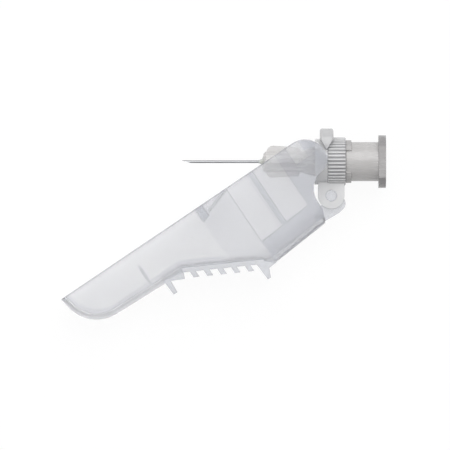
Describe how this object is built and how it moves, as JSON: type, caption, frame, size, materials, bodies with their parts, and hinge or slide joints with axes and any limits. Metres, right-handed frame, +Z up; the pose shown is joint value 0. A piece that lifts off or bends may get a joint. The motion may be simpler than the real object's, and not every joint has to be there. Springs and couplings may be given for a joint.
{
  "type": "safety hypodermic needle",
  "caption": "Hypodermic needle on a luer lock hub, with a hinged safety shield on a turning knurled collar, lying half open on its side.",
  "frame": {"origin": "centre of the hub's mouth, on the needle's axis", "axes": "+X along the needle's axis and out of the hub's mouth, the cannula's tip lying towards -X; +Y across the needle in the plane the shield swings in, away from the hinge; +Z up, parallel to the hinge pin, with the shield's side wall lying on the ground"},
  "size_m": [0.048, 0.0283, 0.0088],
  "materials": {
    "steel": "polished",
    "adhesive": "clear cured adhesive",
    "hub": "satin, slightly translucent",
    "collar": "clear gloss",
    "shield": "frosted, translucent white"
  },
  "bodies": {
    "needle": {"cannula": "steel", "adhesive_bead": "adhesive", "needle_hub": "hub"},
    "collar": {"hinge_collar": "collar"},
    "shield": {"shield": "shield"}
  },
  "joints": [
    {"name": "collar_turn", "type": "hinge", "parent": "needle", "child": "collar", "pos_m": [0, 0, 0], "axis": [1, 0, 0], "continuous": true},
    {"name": "shield_hinge", "type": "hinge", "parent": "collar", "child": "shield", "pos_m": [-0.00807, -0.00505, 0], "axis": [0, 0, 1], "range_deg": [-34, 56]}
  ]
}
